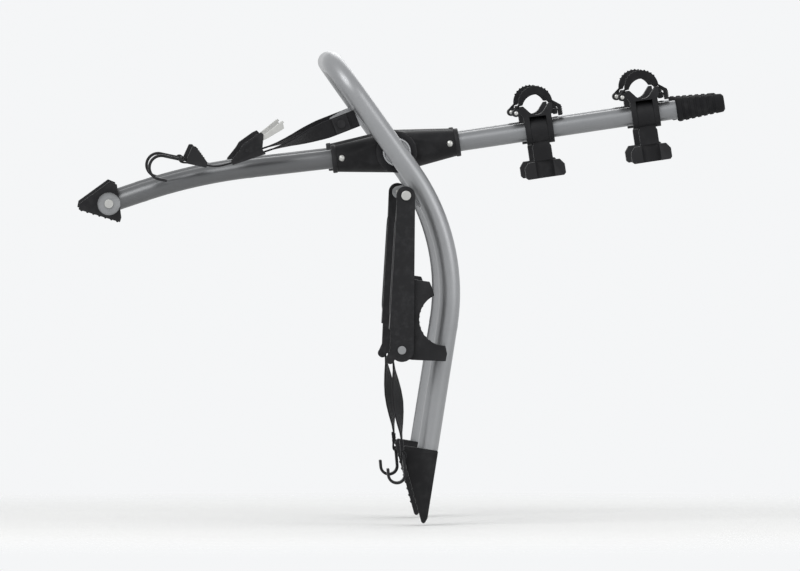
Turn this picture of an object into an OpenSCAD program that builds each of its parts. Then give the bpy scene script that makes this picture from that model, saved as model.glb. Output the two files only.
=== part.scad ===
// Strap-on bike rack for a car's boot lid: a bent hoop stands on the rear panel,
// two hubs on it clamp two carrying arms and two upper legs, and straps pull it tight.
// Millimetres. +X points rearwards along the arms, +Z up, Y across the car.
// The origin lies midway between the faces of the two lower feet.

/* [Hoop] */
// Distance between the centre lines of the two hoop legs
hoop_width = 470; // [450:5:560]
// Outside diameter of the hoop tube
hoop_d = 30; // [26:1:32]
// Wall of the hoop tube
hoop_wall = 2; // [1.5:0.5:3]
// Lean of the upper hoop from the vertical, top towards the car
hoop_lean = 35.5; // [32:0.5:39]
// Distance up the leaning tube from the hub axis to the crossbar
hoop_rise = 158; // [150:1:190]
// Bend radius of the two top corners
corner_r = 60; // [50:1:64]
// Straight tube below the hub axis, before the sweep
hoop_drop = 35; // [30:1:50]
// Bend radius of the sweep in each leg
sweep_r = 300; // [270:5:330]
// Lean of the lower legs from the vertical, bottom towards the car
lower_lean = 9; // [6:0.5:12]
// Straight length of each lower leg
lower_len = 180; // [160:5:220]

/* [Lower feet] */
// Width of a lower foot across the car
boot_w = 44; // [36:1:46]
// Length of a lower foot below the end of the tube
boot_len = 106; // [90:1:120]
// Reach of a lower foot from the tube's axis towards the car
boot_reach = 37; // [28:1:44]
// Thickness of the toe of a lower foot
boot_toe = 7; // [5:0.5:12]
// Length of the plug that fills the end of the tube
boot_plug = 40; // [25:1:60]

/* [Hubs] */
// Diameter of a hub
hub_d = 60; // [54:1:64]
// Width of one hub half along the bolt
half_w = 46; // [42:1:50]
// Thickness of a friction washer
washer_t = 2; // [1:0.5:4]
// Diameter of a friction washer
washer_d = 48; // [36:1:54]
// Diameter of the hub bolt
bolt_d = 10; // [8:1:12]
// Length of a hub's sleeve over its tube, from the bolt
shroud_len = 93; // [85:1:105]
// Diameter of a hub's sleeve at its open end
shroud_d = 37; // [35:1:42]
// Diameter of a clamping knob
knob_d = 56; // [46:1:64]
// Thickness of a clamping knob
knob_t = 24; // [18:1:30]
// Thickness of the welded flange that the hub bears on
flange_t = 6; // [4:0.5:9]
// Gap from the hoop tube to the hub's bearing face
flange_gap = 13; // [10:1:18]

/* [Arms] */
// Outside diameter of an arm tube
arm_d = 27; // [24:0.5:29]
// Wall of the arm and leg tubes
tube_wall = 2; // [1.5:0.5:3]
// Upward tilt of the arms
arm_tilt = 8.5; // [4:0.5:14]
// Distance from the hub axis to the tip of an arm
arm_reach = 480; // [455:5:540]
// Length of the grip on an arm's end
grip_len = 70; // [62:1:74]
// Wall of the grip at its open end
grip_wall = 4.5; // [4:0.5:6]
// Diameter of the grip at its tip
grip_tip_d = 26; // [24:1:30]
// Solid length of the grip past the end of the tube
grip_nose = 34; // [30:1:40]

/* [Upper legs] */
// Outside diameter of an upper leg tube
leg_d = 27; // [24:0.5:29]
// Downward slope of an upper leg at the hub
leg_slope = 6.5; // [3:0.5:10]
// Straight length of an upper leg from the hub axis
leg_straight = 211; // [150:1:240]
// Bend radius of an upper leg
leg_bend_r = 760; // [600:10:900]
// Bend angle of an upper leg
leg_bend = 12; // [8:0.5:16]
// Straight length from the bend to the foot's pin
leg_tail = 52; // [40:1:80]

/* [Upper feet] */
// Width of an upper foot across the car
pad_w = 44; // [42:1:46]
// Slope of the upper foot's sole, lower end at the rear
sole_slope = 17; // [10:0.5:22]
// Length of the sole
sole_len = 63; // [54:1:72]
// Depth of the sole's face below the foot's pin
sole_drop = 20.5; // [19.5:0.5:26]
// Diameter of the foot's pin
foot_pin_d = 8; // [6:0.5:10]
// Wall of the yoke that holds the pin
yoke_wall = 2; // [1.5:0.5:2.5]

/* [Cradles] */
// Distance from the hub axis to the inner cradle
cradle_at = 210; // [200:1:220]
// Distance from the inner to the outer cradle
cradle_pitch = 155; // [130:1:158]
// Diameter of the bicycle tube that a cradle holds
bike_d = 28.6; // [25.4:0.1:31.8]
// Wall of a cradle under the bicycle tube
seat_web = 2.2; // [1.5:0.1:4]
// Length of a cradle's seat along the arm
saddle_len = 46; // [44:1:50]
// Length of a cradle's sleeve on the arm
collar_len = 40; // [36:1:42]
// Width of a cradle across the arm
saddle_w = 40; // [34:1:42]
// Wall of a cradle around the arm
saddle_wall = 6.5; // [5:0.5:7]
// Width of the strap over a cradle
tie_w = 24; // [18:1:26]
// Thickness of that strap at its ends
tie_t = 5.5; // [4.5:0.1:6]
// Thickness of that strap at its crown
tie_crown = 12; // [8:0.5:14]
// Diameter of the strap's hinge pin
tie_pin_d = 5; // [4:0.5:6]
// Width of the collar of the hanging stabiliser
sway_collar = 24; // [20:1:26]
// Width of the stabiliser's stem along the arm
sway_stem = 27; // [24:1:32]
// Width of the stabiliser's foot along the arm
sway_foot = 58; // [52:1:66]
// Depth of the stabiliser below the arm's centre
sway_drop = 69; // [62:1:76]
// Height of the stabiliser's foot
sway_foot_h = 24; // [18:1:28]
// Diameter of the bicycle tube that the stabiliser steadies
seat_tube_d = 32; // [28:1:36]

/* [Straps] */
// Width of the webbing
web_w = 25; // [20:1:26]
// Thickness of the webbing
web_t = 2.4; // [1.6:0.1:2.6]
// Thickness of the welded tab that holds an upper strap
tab_t = 4; // [3:0.5:6]
// Diameter of the rivet through an upper strap
rivet_d = 6; // [5:0.5:8]
// Thickness of the clamping plate on an upper strap's end
clamp_t = 2.5; // [2:0.5:4]
// Distance of a lower strap outside the centre line of its hoop leg
tension_side = 40; // [40:1:60]
// Thickness of the flat hooks
hook_t = 4; // [3:0.5:5]
// Width of the flat hooks
hook_w = 31; // [30:1:33]
// Thickness of the tensioner's side plates
plate_t = 2.5; // [2:0.5:3]
// Diameter of the tensioner's ratchet wheels
wheel_d = 34; // [30:1:36]
// Number of teeth on a ratchet wheel
wheel_teeth = 13; // [9:1:16]

/* [Fits] */
// Radial clearance of a pin that turns in its hole
turn_fit = 0.05; // [0.02:0.01:0.1]
// Gap between the flat faces of parts that turn on each other
face_gap = 0.2; // [0.1:0.05:0.5]
// Gap between parts that sweep past each other
sweep_gap = 0.5; // [0.3:0.1:1]

/* [Hidden] */
$fn = 64;
LEFT = -1;
RIGHT = 1;
silver = [0.60, 0.61, 0.62];
tube_grey = [0.45, 0.46, 0.47];
black = [0.08, 0.08, 0.09];
rubber = [0.12, 0.12, 0.13];
zinc = [0.70, 0.70, 0.68];
steel = [0.35, 0.36, 0.38];

// Butt welds in the tubes: how proud they stand, and their length
weld_rise = 0.2;
weld_len = 8;

// Places of the pieces, measured from the hub axis
hoop_r = hoop_d / 2;
leg_line = hoop_width / 2;
sweep_angle = hoop_lean + lower_lean;
corner_z = hoop_rise - corner_r;
sweep_start = hoop_drop * [sin(hoop_lean), -cos(hoop_lean)];
sweep_middle = sweep_start - sweep_r * [cos(hoop_lean), sin(hoop_lean)];
sweep_end = sweep_middle + sweep_r * [cos(lower_lean), -sin(lower_lean)];
tube_end = sweep_end - lower_len * [sin(lower_lean), cos(lower_lean)];
boot_edge = 6;
boot_face = [(hoop_r - boot_toe - boot_reach) / 2, -(boot_edge + boot_len) / 2];
boot_face_at = tube_end + boot_face[0] * [cos(lower_lean), -sin(lower_lean)]
    + boot_face[1] * [sin(lower_lean), cos(lower_lean)];

// The stack along a hub bolt, from the welded flange towards the middle of the rack
bearing_y = leg_line - hoop_r - flange_gap;
leg_y = bearing_y - washer_t - half_w / 2;
arm_y = leg_y - washer_t - half_w;
knob_y = arm_y - half_w / 2 - washer_t;
washer_faces = [bearing_y, leg_y - half_w / 2, arm_y - half_w / 2];
bolt_end_y = knob_y - knob_t + 4;
tube_start = hub_d / 2 + 6;
grip_start = arm_reach - grip_len;

// Cradle places, along and square to an arm
arm_r = arm_d / 2;
sleeve_r = arm_r + saddle_wall;
seat_floor = sleeve_r + sweep_gap;
bike_rise = seat_floor + seat_web + bike_d / 2;
saddle_top = bike_rise;
seat_half = saddle_len / 2;
collar_half = collar_len / 2;
boat_z = seat_floor + 6;
groove_angle = 58;
flank_angle = 50;
ear_reach = 7;
tie_pin_z = 29;
tie_pin_at = [-(seat_half + ear_reach), tie_pin_z];
knuckle_r = tie_pin_d / 2 + 3;
ear_gap = tie_w / 2 + face_gap;
nose_z = 28;
nose_drop = 8;
sway_neck = sway_collar / 2;

// The arch of a cradle's strap: its mouth over the seat, and two arcs from mouth to crown
tie_over = saddle_top + 1;
tie_mouth = seat_half - 4;
crown_z = bike_rise + bike_d / 2 + sweep_gap;
arch_in_r = arc_radius(tie_mouth, crown_z - tie_over);
arch_out_r = arc_radius(tie_mouth + tie_t, crown_z + tie_crown - tie_over);
arch_in_z = crown_z - arch_in_r;
arch_out_z = crown_z + tie_crown - arch_out_r;
tab_in = seat_half + ear_reach + sweep_gap;
tab_low = 17;

// Radius of an arc from half its chord and its rise
function arc_radius(half_chord, rise) = (half_chord * half_chord + rise * rise) / (2 * rise);

// Upper foot places, measured from its pin
knuckle_d = leg_d + 1;
cup_r = knuckle_d / 2 + sweep_gap + yoke_wall;
yoke_half = leg_d / 2 + 1 + yoke_wall;
toe_at = 40;
hood_top = 31;
foot_swing = 15;
leg_rise = leg_slope + leg_bend + sole_slope;

// Routes of the webbing, as X and Z from the hub axis, with the twist of its face
upper_route = [
    [-68, 45], [-79, 40.7], [-91, 36], [-101, 32.2], [-113, 27.8], [-127, 22.5], [-140, 17.5],
    [-153, 13], [-166, 8.5], [-180, 4], [-195, -1], [-210, -6], [-225, -11], [-240, -16],
    [-256, -20], [-270, -19.5], [-284, -16.5], [-298, -13.5], [-312, -10.5]
];
upper_twist = [90, 90, 90, 80, 62, 46, 30, 16, 6, 0, 0, 0, 0, 0, 0, 0, 0, 0, 0];
lower_route = [
    [-6.5, -284], [-6.5, -291], [-6.2, -298], [-4.8, -313], [-3, -328], [-1.2, -343],
    [0.5, -358], [2, -373], [3.5, -388], [5, -403], [6.5, -418], [8, -430], [9, -440]
];
lower_twist = [0, 0, 0, 6, 20, 32, 38, 32, 20, 6, 0, 0, 0];

// Strap hardware places
tension_y = leg_line + tension_side;
rivet_at = [-80, 40.3];
rivet_slope = 21.5;
clamp_half = 11;
strap_out = leg_line + web_t / 2;
strap_in = leg_line - web_t / 2;
buckle_at = [-210, -6];
buckle_slope = 18.435;
buckle_half = 21;
buckle_toe = 29;
buckle_wall = 2.4;
buckle_floor = -web_t / 2 - buckle_wall;
buckle_in = web_w / 2 + sweep_gap;
lever_pin_at = [3, 10];
lever_thumb = 65;
lever_rise = 8;
lever_fold = 2;
cam_pin_d = 5;
slide_at = [-288, -15.643];
slide_slope = 12.095;
slide_half = 15;
slide_top = 23;
slide_wall = 2.5;
upper_hook_at = [-312, -10.5];
upper_hook_slope = 12.095;
upper_hook_shank = 24;
upper_hook_r = 17;
upper_hook_lip = 12;
lower_hook_at = [9, -440];
lower_hook_slope = 5;
lower_hook_shank = 22;
lower_hook_r = 12;
lower_hook_lip = 10;
anchor_at = [12, -62];
anchor_pin_d = 8;
hook_eye = 5;
hook_bar = 3.5;

// Tensioner places: the spool, the bar that guides the webbing, and the handle's outline from the spool
spool_at = [6, -284];
spool_r = 11;
spool_pin_d = 12;
spool_plate_r = 17;
guide_d = 6;
guide_at = [lower_route[2][0] - web_t / 2 - sweep_gap - guide_d / 2, lower_route[2][1]];
guide_ear_r = guide_d / 2 + 3;
handle_top = 100;
handle_skin = 3;
handle_boss_r = 15;
lip_out = [40, 98];
lip_low = [45, 86];
tab_out = [65, -5];
tab_end = [63, -16];
handle_heel = [14, -14];
handle_toe = [-8, -10];
handle_back = [-4, 90];
finger_at = [63, 44];
finger_r = 38;
pocket_back = -20;
pocket_lip = [32, 94];
pocket_waist = [24, 44];
pocket_tab = [40, -6];
pocket_heel = [10, -9];
pocket_low = -40;
handle_half = web_w / 2 + 2 * sweep_gap + plate_t;
wheel_half = handle_half + sweep_gap + plate_t;
tension_half = wheel_half + sweep_gap + plate_t;

// Puts a piece that is drawn from the hub axis, on the right, onto its side
module place(side) {
    translate([-boot_face_at[0], 0, -boot_face_at[1]])
        mirror([0, side < 0 ? 1 : 0, 0])
            children();
}

// Extrudes a side profile, drawn in X and Z, across the car
module slab(y0, y1) {
    translate([0, y1, 0])
        rotate([90, 0, 0])
            linear_extrude(y1 - y0)
                children();
}

// Extrudes a side profile twice, as a pair of cheeks on both sides of the middle
module cheeks(inner, outer) {
    slab(inner, outer)
        children();
    slab(-outer, -inner)
        children();
}

// A round bar across the car
module y_bar(d, y0, y1) {
    translate([0, y1, 0])
        rotate([90, 0, 0])
            cylinder(d = d, h = y1 - y0);
}

// A round bar along X
module x_bar(d, x0, x1) {
    translate([x0, 0, 0])
        rotate([0, 90, 0])
            cylinder(d = d, h = x1 - x0);
}

module arm_frame() {
    translate([0, arm_y, 0])
        rotate([0, -arm_tilt, 0])
            children();
}

module leg_frame() {
    translate([0, leg_y, 0])
        mirror([1, 0, 0])
            rotate([0, leg_slope, 0])
                children();
}

// Frame at the pin of the upper foot, +X along the leg's end
module leg_end_frame() {
    leg_frame()
        translate([leg_straight, 0, -leg_bend_r])
            rotate([0, leg_bend, 0])
                translate([leg_tail, 0, leg_bend_r])
                    children();
}

// Frame at the pin of the upper foot, +X towards the car along the sole, +Z square to it
module foot_frame() {
    leg_end_frame()
        rotate([0, -leg_bend - leg_slope - sole_slope, 0])
            children();
}

module cradle_frame(at) {
    arm_frame()
        translate([at, 0, 0])
            children();
}

// Dressed butt weld between two lengths of tube, around the origin and along Z
module weld_band(d) {
    cylinder(d = d + 2 * weld_rise, h = weld_len, center = true);
}

// The hoop's centre line as a round bar, drawn from the hub axis
module hoop_run(d, past_end) {
    rotate([0, -hoop_lean, 0]) {
        for (side = [LEFT, RIGHT])
            translate([0, side * leg_line, 0]) {
                translate([0, 0, -hoop_drop])
                    cylinder(d = d, h = hoop_drop + corner_z);
                translate([-sweep_r, 0, -hoop_drop]) {
                    rotate([-90, 0, 0])
                        rotate_extrude(angle = sweep_angle)
                            translate([sweep_r, 0])
                                circle(d = d);
                    rotate([0, sweep_angle, 0])
                        translate([sweep_r, 0, 0]) {
                            translate([0, 0, -lower_len - past_end])
                                cylinder(d = d, h = lower_len + past_end);
                            weld_band(d);
                        }
                }
                translate([0, -side * corner_r, corner_z])
                    rotate([90, 0, 90])
                        rotate([0, 0, side > 0 ? 0 : 90])
                            rotate_extrude(angle = 90)
                                translate([corner_r, 0])
                                    circle(d = d);
            }
        translate([0, 0, hoop_rise])
            y_bar(d, -leg_line + corner_r, leg_line - corner_r);
    }
}

// Welded boss and flange that carry one hub
module hub_boss() {
    boss_d = hub_d * 0.62;
    y_bar(boss_d, bearing_y, leg_line);
    y_bar(hub_d - 4, bearing_y, bearing_y + flange_t);
}

// Welded lug on the car side of a leg, which holds the tensioner's pin
module anchor_lug() {
    lug_t = 8;
    lug_root = 34;
    slab(leg_line - lug_t / 2, leg_line + lug_t / 2)
        difference() {
            union() {
                translate(anchor_at)
                    circle(d = anchor_pin_d + 10);
                polygon([
                    anchor_at + [0, 9], anchor_at + [lug_root, 14],
                    anchor_at + [lug_root, -22], anchor_at + [0, -9]
                ]);
            }
            translate(anchor_at)
                circle(d = anchor_pin_d);
        }
}

// Welded tab on the car side of a leg, which an upper strap is riveted to
module strap_tab() {
    tip_half = 9;
    root_half = 12;
    translate([rivet_at[0], 0, rivet_at[1]])
        rotate([0, -rivet_slope, 0])
            slab(strap_in - tab_t, strap_in)
                polygon([
                    [-8, 3 - tip_half], [-5, -tip_half], [20, -root_half], [46, -root_half],
                    [40, root_half], [12, root_half], [-5, tip_half], [-8, tip_half - 3]
                ]);
}

module hoop() {
    color(silver)
        place(RIGHT)
            difference() {
                union() {
                    hoop_run(hoop_d, 0);
                    for (side = [LEFT, RIGHT])
                        mirror([0, side < 0 ? 1 : 0, 0]) {
                            hub_boss();
                            anchor_lug();
                            strap_tab();
                        }
                }
                hoop_run(hoop_d - 2 * hoop_wall, 5);
                for (side = [LEFT, RIGHT])
                    mirror([0, side < 0 ? 1 : 0, 0]) {
                        y_bar(bolt_d, bearing_y - 1, leg_line);
                        translate([rivet_at[0], 0, rivet_at[1]])
                            y_bar(rivet_d, strap_in - 2 * tab_t, leg_line);
                    }
            }
}

// Wedge of rubber plugged into the end of a hoop leg
module lower_foot(side) {
    toe_in = 5;
    color(rubber)
        place(side)
            translate([tube_end[0], leg_line, tube_end[1]])
                rotate([0, lower_lean, 0]) {
                    intersection() {
                        slab(-boot_w / 2, boot_w / 2)
                            polygon([
                                [hoop_r, 0], [hoop_r, -boot_len + 8], [hoop_r - 3, -boot_len],
                                [hoop_r - boot_toe, -boot_len], [-boot_reach, -boot_edge],
                                [-boot_reach + 3, 0]
                            ]);
                        rotate([90, 0, 90])
                            linear_extrude(4 * boot_reach, center = true)
                                polygon([
                                    [-boot_w / 2 + 4, 0], [boot_w / 2 - 4, 0], [boot_w / 2, -4],
                                    [boot_w / 2, -boot_len * 0.5], [boot_w / 2 - toe_in, -boot_len],
                                    [-boot_w / 2 + toe_in, -boot_len], [-boot_w / 2, -boot_len * 0.5],
                                    [-boot_w / 2, -4]
                                ]);
                    }
                    translate([0, 0, -1])
                        cylinder(d = hoop_d - 2 * hoop_wall - 2 * turn_fit, h = boot_plug + 1);
                }
}

module hub_bolts() {
    color(zinc)
        for (side = [LEFT, RIGHT])
            place(side)
                y_bar(bolt_d - 2 * turn_fit, bolt_end_y, leg_line - hoop_r + 6);
}

module friction_washers() {
    color(steel)
        for (side = [LEFT, RIGHT])
            place(side)
                for (face = washer_faces)
                    difference() {
                        y_bar(washer_d, face - washer_t, face);
                        y_bar(bolt_d, face - washer_t - 1, face + 1);
                    }
}

module strap_pins() {
    color(zinc)
        for (side = [LEFT, RIGHT])
            place(side)
                translate([anchor_at[0], 0, anchor_at[1]]) {
                    y_bar(anchor_pin_d - 2 * turn_fit, leg_line - 8, tension_y + tension_half + 3);
                    y_bar(anchor_pin_d + 6, tension_y + tension_half + face_gap,
                        tension_y + tension_half + 4);
                }
}

// Rivets that clamp the ends of the upper straps to their tabs under a plate
module strap_rivets() {
    head_d = 2 * rivet_d;
    head_t = 2;
    color(black)
        for (side = [LEFT, RIGHT])
            place(side)
                translate([rivet_at[0], 0, rivet_at[1]])
                    rotate([0, -rivet_slope, 0]) {
                        y_bar(rivet_d - 2 * turn_fit, strap_in - tab_t - head_t, strap_out + 1);
                        y_bar(head_d, strap_in - tab_t - head_t, strap_in - tab_t);
                        y_bar(head_d, strap_out + 1, strap_out + clamp_t + head_t);
                        translate([-clamp_half, strap_out, -clamp_half])
                            cube([2 * clamp_half, clamp_t, 2 * clamp_half]);
                    }
}

// Lobed hand knob with a blind nut for the hub bolt
module hub_knob(side) {
    lobes = 5;
    scallop_r = knob_d * 0.22;
    collar_t = 6;
    inner = knob_y - knob_t;
    outer = knob_y - face_gap;
    color(black)
        place(side)
            difference() {
                union() {
                    difference() {
                        y_bar(knob_d, inner + 3, outer - collar_t);
                        for (i = [0 : lobes - 1])
                            rotate([0, i * 360 / lobes, 0])
                                translate([knob_d / 2 + scallop_r * 0.45, 0, 0])
                                    y_bar(2 * scallop_r, inner, outer);
                    }
                    y_bar(knob_d * 0.55, inner, outer);
                }
                y_bar(bolt_d, bolt_end_y - 1, outer + 1);
            }
}

// Moulded hub half: a round boss on the bolt and a tapered sleeve over a tube along +X
module hub_half(tube_d) {
    half = half_w / 2 - face_gap;
    difference() {
        intersection() {
            union() {
                y_bar(hub_d, -half, half);
                rotate([0, 90, 0])
                    cylinder(d1 = hub_d, d2 = shroud_d, h = shroud_len);
            }
            translate([-hub_d, -half, -hub_d])
                cube([hub_d + shroud_len + 1, 2 * half, 2 * hub_d]);
        }
        x_bar(tube_d + 2 * turn_fit, tube_start, shroud_len + 1);
        y_bar(bolt_d, -half - 1, half + 1);
    }
}

module arm_hub(side) {
    color(black)
        place(side)
            arm_frame()
                hub_half(arm_d);
}

module leg_hub(side) {
    color(black)
        place(side)
            leg_frame()
                hub_half(leg_d);
}

module arm_tube(side) {
    color(silver)
        place(side)
            arm_frame()
                difference() {
                    x_bar(arm_d, tube_start, arm_reach - grip_nose);
                    x_bar(arm_d - 2 * tube_wall, tube_start - 1, arm_reach);
                }
}

// Radius of the grip at a distance from its open end
function grip_r(at) =
    let (wide = arm_d / 2 + grip_wall)
    wide - (wide - grip_tip_d / 2) * at / grip_len;

// Tapered end grip with grooves, a sleeve with a solid nose
module arm_grip(side) {
    ribs = 6;
    edge = 3;
    rib_start = 8;
    rib_pitch = (grip_len - 2 * rib_start) / ribs;
    rib_w = rib_pitch * 0.4;
    rib_depth = 1;
    color(rubber)
        place(side)
            arm_frame()
                difference() {
                    translate([grip_start, 0, 0])
                        rotate([0, 90, 0])
                            rotate_extrude()
                                difference() {
                                    polygon([
                                        [0, 0], [grip_r(0) - 2, 0], [grip_r(edge), edge],
                                        [grip_r(grip_len - edge), grip_len - edge],
                                        [grip_r(grip_len) - edge, grip_len], [0, grip_len]
                                    ]);
                                    for (i = [0 : ribs - 1])
                                        let (at = rib_start + i * rib_pitch)
                                        translate([grip_r(at + rib_w) - rib_depth, at])
                                            square([2 * rib_depth + 1, rib_w]);
                                }
                    x_bar(arm_d + 2 * turn_fit, grip_start - 1, arm_reach - grip_nose);
                }
}

// An upper leg's centre line as a round bar, from the hub to a distance short of its pin
module leg_run(d, start, short) {
    leg_frame() {
        x_bar(d, start, leg_straight);
        translate([leg_straight, 0, 0]) {
            rotate([0, 90, 0])
                weld_band(d);
            translate([0, 0, -leg_bend_r])
                rotate([90, 0, 0])
                    rotate([0, 0, 90 - leg_bend])
                        rotate_extrude(angle = leg_bend)
                            translate([leg_bend_r, 0])
                                circle(d = d);
        }
    }
    leg_end_frame() {
        x_bar(d, -leg_tail, -short);
        translate([-leg_tail, 0, 0])
            rotate([0, 90, 0])
                weld_band(d);
    }
}

module leg_tube(side) {
    color(tube_grey)
        place(side)
            difference() {
                union() {
                    leg_run(leg_d, tube_start, 0);
                    leg_end_frame()
                        y_bar(knuckle_d, -leg_d / 2, leg_d / 2);
                }
                leg_run(leg_d - 2 * tube_wall, tube_start - 1, knuckle_d);
                leg_end_frame()
                    y_bar(foot_pin_d, -leg_d, leg_d);
            }
}

module foot_pin(side) {
    head_t = 3;
    color(zinc)
        place(side)
            leg_end_frame() {
                y_bar(foot_pin_d - 2 * turn_fit, -yoke_half - head_t, yoke_half + head_t);
                for (end = [LEFT, RIGHT])
                    translate([0, end * (yoke_half + face_gap + head_t / 2), 0])
                        y_bar(foot_pin_d + 5, -head_t / 2, head_t / 2);
            }
}

// Room for the end of the leg over the foot's whole swing, in the foot's own frame
module leg_slot() {
    half = leg_d / 2 + sweep_gap;
    inside = yoke_half - yoke_wall;
    high = leg_rise + foot_swing;
    low = leg_rise - foot_swing;
    far = 2 * hood_top;
    slab(-inside, inside)
        polygon([
            half * [sin(high), cos(high)],
            half * [sin(high), cos(high)] + far * [-cos(high), sin(high)],
            -half * [sin(low), cos(low)] + far * [-cos(low), sin(low)],
            -half * [sin(low), cos(low)]
        ]);
}

// Steel cup around the end of the leg, open at the rear for the tube
module foot_yoke(side) {
    color(steel)
        place(side)
            foot_frame()
                difference() {
                    y_bar(2 * cup_r, -yoke_half, yoke_half);
                    y_bar(2 * (cup_r - yoke_wall), -yoke_half + yoke_wall, yoke_half - yoke_wall);
                    leg_slot();
                    y_bar(foot_pin_d, -yoke_half - 1, yoke_half + 1);
                }
}

// Rubber shoe: a sole with a hooded toe that holds the yoke
module foot_pad(side) {
    toe_h = 9;
    heel_h = 7;
    hood_x = 8;
    hood_len = 11;
    color(rubber)
        place(side)
            foot_frame()
                difference() {
                    slab(-pad_w / 2, pad_w / 2)
                        polygon([
                            [toe_at - 1, -sole_drop], [toe_at, -sole_drop + toe_h],
                            [hood_x, hood_top], [hood_x - hood_len, hood_top - 1],
                            [toe_at - sole_len, -sole_drop + heel_h], [toe_at - sole_len, -sole_drop]
                        ]);
                    y_bar(2 * cup_r, -pad_w, pad_w);
                    leg_slot();
                }
}

// Flanks of a cradle's seat, which open from its round groove to its mouth
module seat_flanks() {
    edge = bike_d / 2 * [sin(groove_angle), -cos(groove_angle)] + [0, bike_rise];
    flank = [cos(flank_angle), sin(flank_angle)];
    low = edge - 2 * flank;
    high = edge + flank * (saddle_top + 1 - edge[1]) / sin(flank_angle);
    slab(-saddle_w, saddle_w)
        polygon([[-low[0], low[1]], low, high, [-high[0], high[1]]]);
}

// Moulded cradle: two collars on the arm, a flared seat for a bicycle tube, two ears and a nose
module saddle(side, at) {
    half_y = saddle_w / 2;
    neck = sway_neck + face_gap;
    color(black)
        place(side)
            cradle_frame(at)
                difference() {
                    union() {
                        for (start = [-collar_half, neck]) {
                            x_bar(2 * sleeve_r, start, start + collar_half - neck);
                            translate([start, -half_y, 0])
                                cube([collar_half - neck, saddle_w, seat_floor + 1]);
                        }
                        slab(-half_y, half_y)
                            polygon([
                                [-seat_half, saddle_top], [-seat_half, boat_z],
                                [-collar_half, seat_floor], [collar_half, seat_floor],
                                [seat_half, boat_z], [seat_half, saddle_top]
                            ]);
                        cheeks(ear_gap, half_y) {
                            translate(tie_pin_at)
                                circle(r = knuckle_r);
                            polygon([
                                tie_pin_at + [0, knuckle_r], [1 - seat_half, tie_pin_z + knuckle_r],
                                [1 - seat_half, boat_z], tie_pin_at + knuckle_r * [-0.6, -0.8]
                            ]);
                        }
                        translate([tie_pin_at[0], 0, tie_pin_at[1]])
                            y_bar(tie_pin_d - 2 * turn_fit, -half_y, half_y);
                        slab(-tie_w / 2, tie_w / 2)
                            polygon([
                                [seat_half - 1, nose_z], [seat_half + ear_reach - 1, nose_z],
                                [seat_half + ear_reach, nose_z - 2],
                                [seat_half + ear_reach - 1, nose_z - nose_drop],
                                [collar_half, seat_floor + 1]
                            ]);
                    }
                    x_bar(arm_d + 2 * turn_fit, -collar_half - 1, collar_half + 1);
                    translate([0, 0, bike_rise])
                        y_bar(bike_d, -half_y - 1, half_y + 1);
                    seat_flanks();
                }
}

// Strap over the bicycle tube: hinged at one ear, with a tab that snaps over the nose
module tie(side, at) {
    half_y = tie_w / 2;
    color(rubber)
        place(side)
            cradle_frame(at)
                difference() {
                    union() {
                        slab(-half_y, half_y)
                            translate([0, arch_out_z])
                                intersection() {
                                    circle(r = arch_out_r);
                                    translate([-arch_out_r, tie_over + 1 - arch_out_z])
                                        square([2 * arch_out_r, 2 * arch_out_r]);
                                }
                        slab(-half_y, half_y)
                            polygon([
                                [arch_out_r - 1, arch_out_z + 2], [tab_in + tie_t, nose_z + 4],
                                [tab_in + tie_t, tab_low], [tab_in, tab_low], [tab_in, nose_z + 1],
                                [seat_half + 1, tie_over], [tie_mouth / 2, tie_over + 2]
                            ]);
                        slab(-half_y, half_y)
                            polygon([
                                [1 - arch_out_r, arch_out_z + 2], tie_pin_at + knuckle_r * [-0.6, 0.8],
                                tie_pin_at + knuckle_r * [0.8, 0.5], [-seat_half - 1, tie_over],
                                [-tie_mouth / 2, tie_over + 2]
                            ]);
                        translate([tie_pin_at[0], 0, tie_pin_at[1]])
                            y_bar(2 * knuckle_r, -half_y, half_y);
                    }
                    translate([0, 0, arch_in_z])
                        y_bar(2 * arch_in_r, -tie_w, tie_w);
                    translate([tie_pin_at[0], 0, tie_pin_at[1]])
                        y_bar(tie_pin_d, -tie_w, tie_w);
                }
}

// Stabiliser that hangs on the arm and steadies the bicycle's seat tube
module stabiliser(side, at) {
    stem_half = sway_stem / 2;
    stem_y = 10;
    foot_y = 13;
    foot_top = -sway_drop + sway_foot_h;
    groove_depth = 7;
    color(black)
        place(side)
            cradle_frame(at)
                difference() {
                    union() {
                        x_bar(2 * sleeve_r, -sway_neck, sway_neck);
                        slab(-stem_y, stem_y)
                            polygon([
                                [-sway_neck, -8], [sway_neck, -8], [sway_neck, -sleeve_r - 1],
                                [stem_half, -sleeve_r - 4], [stem_half, foot_top - 1],
                                [-stem_half, foot_top - 1], [-stem_half, -sleeve_r - 4],
                                [-sway_neck, -sleeve_r - 1]
                            ]);
                        slab(-foot_y, foot_y)
                            polygon([
                                [-sway_foot / 2 + 6, foot_top], [sway_foot / 2 - 6, foot_top],
                                [sway_foot / 2, foot_top - 8], [sway_foot / 2, -sway_drop + 3],
                                [sway_foot / 2 - 3, -sway_drop], [-sway_foot / 2 + 3, -sway_drop],
                                [-sway_foot / 2, -sway_drop + 3], [-sway_foot / 2, foot_top - 8]
                            ]);
                    }
                    x_bar(arm_d + 2 * sweep_gap, -sway_neck - 1, sway_neck + 1);
                    translate([0, foot_y - groove_depth + seat_tube_d / 2, -sway_drop - 1])
                        cylinder(d = seat_tube_d, h = sway_foot_h + 2);
                }
}

// Direction of a route at point i
function heading(route, i) =
    let (ahead = route[min(i + 1, len(route) - 1)], behind = route[max(i - 1, 0)])
    (ahead - behind) / norm(ahead - behind);

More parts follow.
